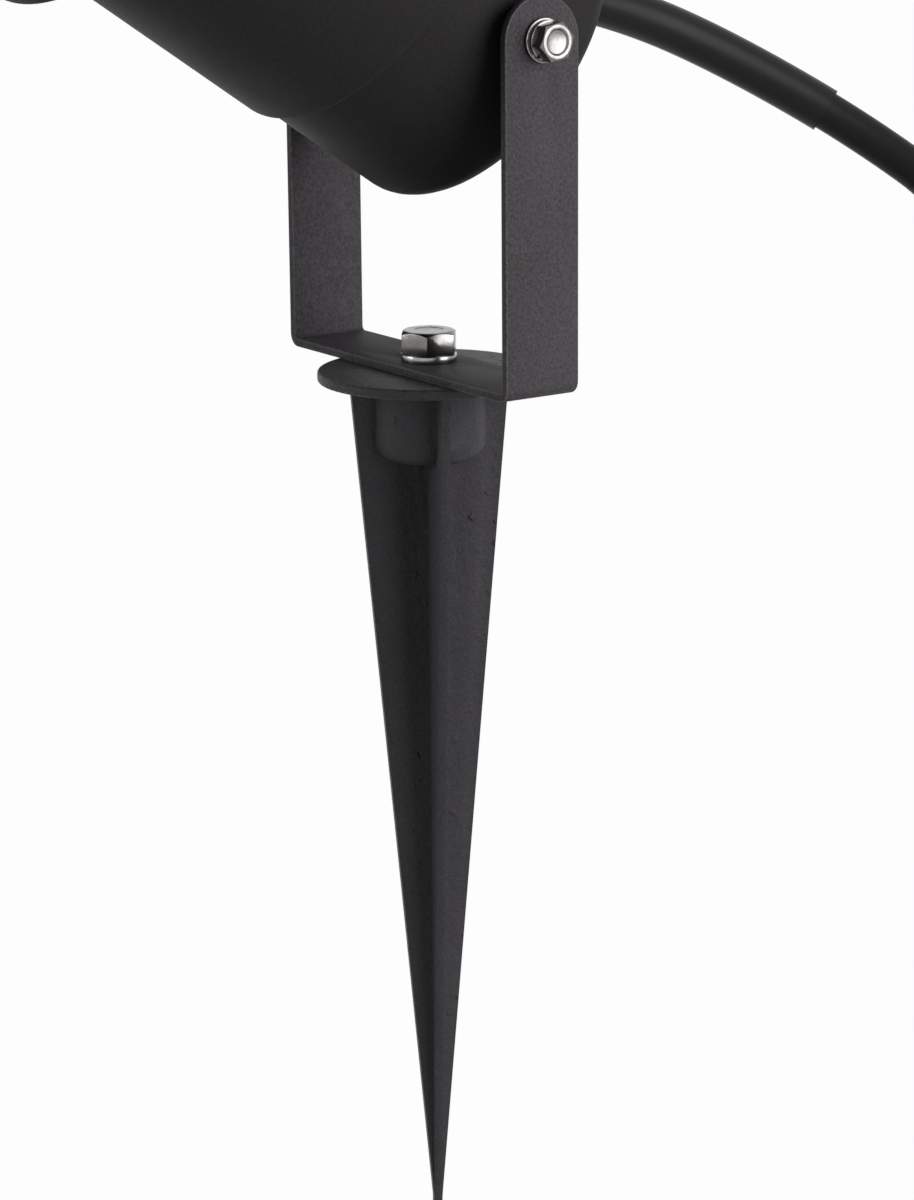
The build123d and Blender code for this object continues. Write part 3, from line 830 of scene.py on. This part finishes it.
lamp = {
    "front": -0.1045,
    "mouth": 0.046,
    "depth": 0.032,
    "wall": 0.0009,
    "rimRadius": 0.0474,
    "rimDepth": 0.005,
    "neckRadius": 0.012,
    "throat": 0.0115,
    "neckBack": -0.04845,
    "burnerRadius": 0.004,
    "burnerLength": 0.017,
    "rings": 9,
    "facets": 40,
    "dimple": 0.00035,
    "neckRound": 0.0004,
    "neckBackRound": 0.001,
    "burnerRound": 0.0035,
}


def bowlPlace(radius):
    return lamp["front"] + lamp["depth"] - lamp["depth"] * (radius / lamp["mouth"]) ** 2


# turned with flat facets, each raised to a shallow point on the mirror's side
def makeBowl(neckFront):
    span = lamp["mouth"] - lamp["throat"]
    radii = [lamp["throat"] + span * ring / lamp["rings"] for ring in range(lamp["rings"] + 1)]
    innerLine = [(radius, bowlPlace(radius)) for radius in radii]
    rim, rimBack = lamp["rimRadius"], lamp["front"] + lamp["rimDepth"]
    outerLine = [(radius + lamp["wall"], place) for radius, place in reversed(innerLine) if place > rimBack]
    rimLine = [(rim, lamp["front"]), (rim, rimBack), (outerLine[0][0], rimBack)]
    bowl = spunPiece("reflectorBowl", innerLine + rimLine + outerLine, steps=lamp["facets"])
    bm = bmesh.new()
    bm.from_mesh(bowl.data)
    bpy.data.objects.remove(bowl)
    mirrorSide = []
    for face in bm.faces:
        centre = face.calc_center_median()
        if face.normal.dot(Vector((centre.x, 0, centre.z))) < 0 and centre.y < neckFront:
            mirrorSide.append(face)
    bmesh.ops.poke(bm, faces=mirrorSide, offset=-lamp["dimple"], center_mode="MEAN")
    bowl = pieceFrom(bm, "reflectorBowl", headPlace)
    bowl.data.polygons.foreach_set("use_smooth", [False] * len(bowl.data.polygons))
    return settle(bowl, "head", "reflector", "lamp_reflector")


def makeLamp():
    neckFront = bowlPlace(lamp["throat"])
    paint(makeBowl(neckFront), "reflector")
    neck = spunPiece("lampNeck", [
        (0, neckFront), (lamp["neckRadius"], neckFront, lamp["neckRound"]),
        (lamp["neckRadius"], lamp["neckBack"], lamp["neckBackRound"]), (0, lamp["neckBack"]),
    ], headPlace, steps=64)
    paint(settle(neck, "head", slotOfNode["lamp_base"], "lamp_base"), slotOfNode["lamp_base"])
    tip = neckFront - lamp["burnerLength"]
    burner = spunPiece("lampBurner", [
        (0, tip), (lamp["burnerRadius"], tip, lamp["burnerRound"]), (lamp["burnerRadius"], neckFront),
        (0, neckFront),
    ], headPlace, steps=48)
    paint(settle(burner, "head", slotOfNode["lamp_burner"], "lamp_burner"), slotOfNode["lamp_burner"])


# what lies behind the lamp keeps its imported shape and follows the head's axis
def moveInnerPieces():
    packedPlace = tiltAxis @ Matrix.Rotation(radians(-head["packedAim"]), 4, "X")
    shifted = headPlace @ Matrix.Translation((0, head["innerShift"], 0)) @ packedPlace.inverted()
    names = ["lamp_pin_left", "lamp_pin_right", "lamp_holder", "holder_bar", "bar_screw_left",
             "bar_screw_right", "terminal_block", "earth_screw"]
    for name in names:
        paint(refinedCopy(name, place=shifted), slotOfNode[name])


bracket = {
    "armOuter": 0.046,
    "thickness": 0.002,
    "width": 0.020,
    "baseUnderside": 0.0025,
    "bendInner": 0.0011,
    "pivotHole": 0.00258,
    "baseHole": 0.00408,
    "edge": 0.00032,
    "trim": 0.001,          # how far the side view reaches below the base
    "topRound": 0.999,      # of half the width
    "pivotReach": 0.06,
    "baseReach": 0.01,
}


def makeBracket():
    outer, thick, half = bracket["armOuter"], bracket["thickness"], bracket["width"] / 2
    low = bracket["baseUnderside"]
    top = head["pivotHeight"] + half
    bend = bracket["bendInner"]
    strip = platePiece("bentStrip", [
        (-outer, low, bend + thick), (outer, low, bend + thick), (outer, top), (outer - thick, top),
        (outer - thick, low + thick, bend), (thick - outer, low + thick, bend), (thick - outer, top),
        (-outer, top),
    ], bracket["width"], placeAt((0, half, 0), (1, 0, 0), (0, 0, 1)))
    sideView = platePiece("sideView", [
        (-half, low - bracket["trim"]), (half, low - bracket["trim"]),
        (half, top, half * bracket["topRound"]), (-half, top, half * bracket["topRound"]),
    ], 4 * outer, placeAt((-2 * outer, 0, 0), (0, 1, 0), (0, 0, 1)), roundSteps=24)
    strip = combine(strip, sideView, "INTERSECT")
    acrossTilt = placeAt((0, 0, head["pivotHeight"]), (0, 1, 0), (1, 0, 0))
    reach = bracket["pivotReach"]
    strip = combine(strip, rod("hole", bracket["pivotHole"], -reach, reach, acrossTilt), "DIFFERENCE")
    upright = placeAt((0, 0, 0), (1, 0, 0), (0, 0, 1))
    strip = combine(strip, rod("hole", bracket["baseHole"], 0, bracket["baseReach"], upright), "DIFFERENCE")
    strip = softenEdges(strip, bracket["edge"], highlightEdges=True)
    return settle(strip, "bracket", slotOfNode["bracket"], "bracket")


bolts = {
    "base": {
        "flats": 0.0124, "head": 0.0056, "shank": 0.004, "shankLength": 0.018,
        "under": 0.0063, "corner": -38.0, "dish": 0.0036, "dishDepth": 0.00015,
    },
    "side": {
        "flats": 0.008, "head": 0.0036, "shank": 0.0025, "shankLength": 0.0143,
        "under": 0.0483, "corner": 19.0, "dish": 0.0029, "dishDepth": 0.0005,
    },
}
boltShape = {
    "faceShare": 0.47,      # radius of the round top face, of the width over the flats
    "chamferSlope": 0.577,
    "spare": 0.001,
    "overlap": 0.0001,
    "dishSlope": 0.0003,
    "tipRound": 0.0006,
    "shankTop": 0.0005,
    "edge": 0.00012,
    "edgeSegments": 2,
    "edgeFrom": 25,         # degrees
}


# the head stands on its place's XZ plane, along +Y, with a corner towards X; the shank goes back
def makeBolt(name, size, place):
    shape, high, overlap = boltShape, size["head"], boltShape["overlap"]
    corner = size["flats"] / 2 / cos(radians(30))
    hexagon = spunPiece(name, [(0, 0), (corner, 0), (corner, high), (0, high)], steps=6)
    faceRadius = shape["faceShare"] * size["flats"]
    wide = corner + shape["spare"]
    drop = (wide - faceRadius) * shape["chamferSlope"]
    turned = spunPiece("turned", [
        (0, -overlap), (wide, -overlap), (wide, high - drop), (faceRadius, high), (0, high),
    ], steps=96)
    bolt = combine(hexagon, turned, "INTERSECT")
    floor = high - size["dishDepth"]
    dish = spunPiece("dish", [
        (0, floor), (size["dish"] - shape["dishSlope"], floor), (size["dish"] + overlap, high + overlap),
        (0, high + overlap),
    ], steps=64)
    bolt = combine(bolt, dish, "DIFFERENCE")
    shank = spunPiece("shank", [
        (0, -size["shankLength"]), (size["shank"], -size["shankLength"], shape["tipRound"]),
        (size["shank"], shape["shankTop"]), (0, shape["shankTop"]),
    ], steps=48)
    bolt = combine(bolt, shank, "UNION")
    bolt = softenEdges(bolt, shape["edge"], shape["edgeSegments"], shape["edgeFrom"])
    bolt.data.transform(place)
    return bolt


def makeBolts():
    base, side = bolts["base"], bolts["side"]
    turn = radians(base["corner"])
    place = placeAt((0, 0, base["under"]), (cos(turn), sin(turn), 0), (0, 0, 1))
    bolt = makeBolt("baseBolt", base, place)
    paint(settle(bolt, body_of(nodes["base_bolt"])[0], "steel", "base_bolt"), "dark_steel")
    turn = radians(side["corner"])
    for sign, name in ((-1, "left"), (1, "right")):
        under = (sign * side["under"], 0, head["pivotHeight"])
        place = placeAt(under, (0, sin(turn), cos(turn)), (sign, 0, 0))
        bolt = makeBolt(f"sideBolt_{name}", side, place)
        paint(settle(bolt, "head", "steel", f"side_bolt_{name}"), "dark_steel")


paint(makeHousing(), "head_coat")
paint(makeFrontRing(), "head_coat")
paint(makeGlass(), "glass")
makeLamp()
moveInnerPieces()
print("head built")
# the bracket's rounded edges take a lighter finish, a painted highlight
paint(makeBracket(), "coat", "coat_edge_highlight")
makeBolts()
edges = {"spike": 0.0003, "washer": 0.0001, "nut": 0.00015}
# the spike's rounded edges take a lighter finish, a painted highlight
paint(refinedCopy("spike", edges["spike"], highlightEdges=True), "cast", "cast_edge_highlight")
for name in nodes:
    if "washer" in name:
        paint(refinedCopy(name, edges["washer"]), "steel" if name.startswith("base") else "dark_steel")
paint(refinedCopy("entry_nut", edges["nut"]), slotOfNode["entry_nut"])
print("bracket, spike and bolts built")

studio = {
    "floorHeight": -0.212,
    "floorSize": 12.0,
    "floorWhite": 0.98,     # share of the floor that shows as plain white
    "floorGrey": 0.50,
    "floorRough": 0.95,
    "floorSpecular": 0.1,
    "lamps": [
        # name, azimuth and elevation in degrees, distance, size, watts
        ("keyRight", 22, 11, 1.4, 1.2, 21.5),
        ("fillLeft", -118, 14, 1.4, 0.6, 6.0),
        ("topSoft", -20, 70, 1.5, 1.0, 0.4),
    ],
    "airLow": 0.10,         # strength of the air at the horizon and overhead
    "airHigh": 0.01,
}


def seenDirectly(tree):
    path = tree.nodes.new("ShaderNodeLightPath")
    first = mathNode(tree, "MAXIMUM", path.outputs["Is Camera Ray"], path.outputs["Is Glossy Ray"])
    return mathNode(tree, "MAXIMUM", first, path.outputs["Is Transmission Ray"])


def makeFloor():
    bm = bmesh.new()
    bmesh.ops.create_grid(bm, x_segments=1, y_segments=1, size=studio["floorSize"] / 2)
    bmesh.ops.translate(bm, verts=bm.verts, vec=(0, 0, studio["floorHeight"]))
    mesh = bpy.data.meshes.new("floor")
    bm.to_mesh(mesh)
    bm.free()
    material = bpy.data.materials.new("paleFloor")
    material.use_nodes = True
    tree = material.node_tree
    shader = tree.nodes["Principled BSDF"]
    shader.inputs["Base Color"].default_value = (*grey(studio["floorGrey"]), 1)
    shader.inputs["Roughness"].default_value = studio["floorRough"]
    shader.inputs["Specular IOR Level"].default_value = studio["floorSpecular"]
    white = tree.nodes.new("ShaderNodeEmission")
    white.inputs["Strength"].default_value = 1.0
    mix = tree.nodes.new("ShaderNodeMixShader")
    share = mathNode(tree, "MULTIPLY", seenDirectly(tree), studio["floorWhite"])
    tree.links.new(share, mix.inputs[0])
    tree.links.new(shader.outputs[0], mix.inputs[1])
    tree.links.new(white.outputs[0], mix.inputs[2])
    tree.links.new(mix.outputs[0], tree.nodes["Material Output"].inputs["Surface"])
    mesh.materials.append(material)
    linkMesh("floor", mesh)


def makeLights():
    for name, azimuth, elevation, distance, size, watts in studio["lamps"]:
        data = bpy.data.lights.new(name, "AREA")
        data.energy = watts
        data.size = size
        light = bpy.data.objects.new(name, data)
        bpy.context.scene.collection.objects.link(light)
        a, e = radians(azimuth), radians(elevation)
        towards = Vector((cos(a) * cos(e), sin(a) * cos(e), sin(e)))
        light.location = towards * distance
        light.rotation_euler = towards.to_track_quat("Z", "Y").to_euler()
    world = bpy.data.worlds.new("studioAir")
    bpy.context.scene.world = world
    world.use_nodes = True
    tree = world.node_tree
    sky = tree.nodes["Background"]
    sky.inputs["Color"].default_value = (1, 1, 1, 1)
    split = tree.nodes.new("ShaderNodeSeparateXYZ")
    tree.links.new(tree.nodes.new("ShaderNodeTexCoord").outputs["Generated"], split.inputs[0])
    up = mathNode(tree, "MAXIMUM", split.outputs["Z"], 0.0)
    air = mathNode(tree, "MULTIPLY_ADD", up, studio["airHigh"] - studio["airLow"], studio["airLow"])
    tree.links.new(mathNode(tree, "MAXIMUM", air, seenDirectly(tree)), sky.inputs["Strength"])


makeFloor()
makeLights()
bpy.context.scene.view_settings.view_transform = "Standard"
print("studio ready")
